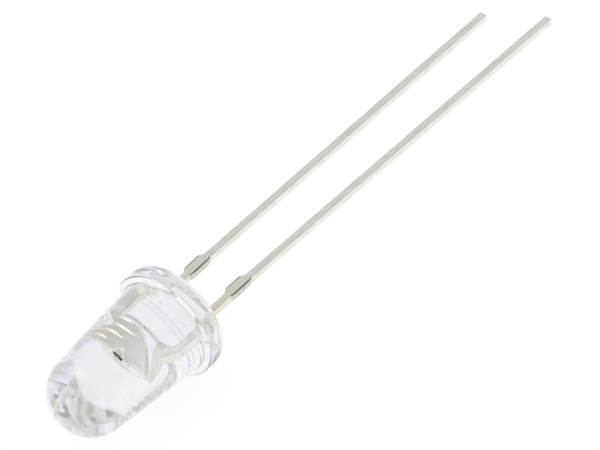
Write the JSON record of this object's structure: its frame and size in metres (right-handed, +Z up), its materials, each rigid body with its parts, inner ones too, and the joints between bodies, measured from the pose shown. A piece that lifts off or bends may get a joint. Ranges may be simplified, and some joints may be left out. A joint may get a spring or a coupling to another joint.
{
  "type": "through-hole light-emitting diode",
  "caption": "Clear 5 mm round light-emitting diode with a flanged dome body and two long leads for a circuit board.",
  "frame": {"origin": "centre of the flange's back face, on the body's axis, midway between the leads", "axes": "+Y along the leads, away from the dome; +X towards the anode, the longer lead; +Z up, square to the plane of the leads"},
  "size_m": [0.0055, 0.0359, 0.0058],
  "materials": {
    "clear_resin": "gloss",
    "plated_lead": "satin",
    "semiconductor": "satin",
    "silver_glue": "matte",
    "gold_wire": "polished"
  },
  "bodies": {
    "root": {"lens": "clear_resin", "cathode_lead": "plated_lead", "anode_lead": "plated_lead", "led_die": "semiconductor", "die_attach": "silver_glue", "bond_wire": "gold_wire"}
  },
  "joints": []
}
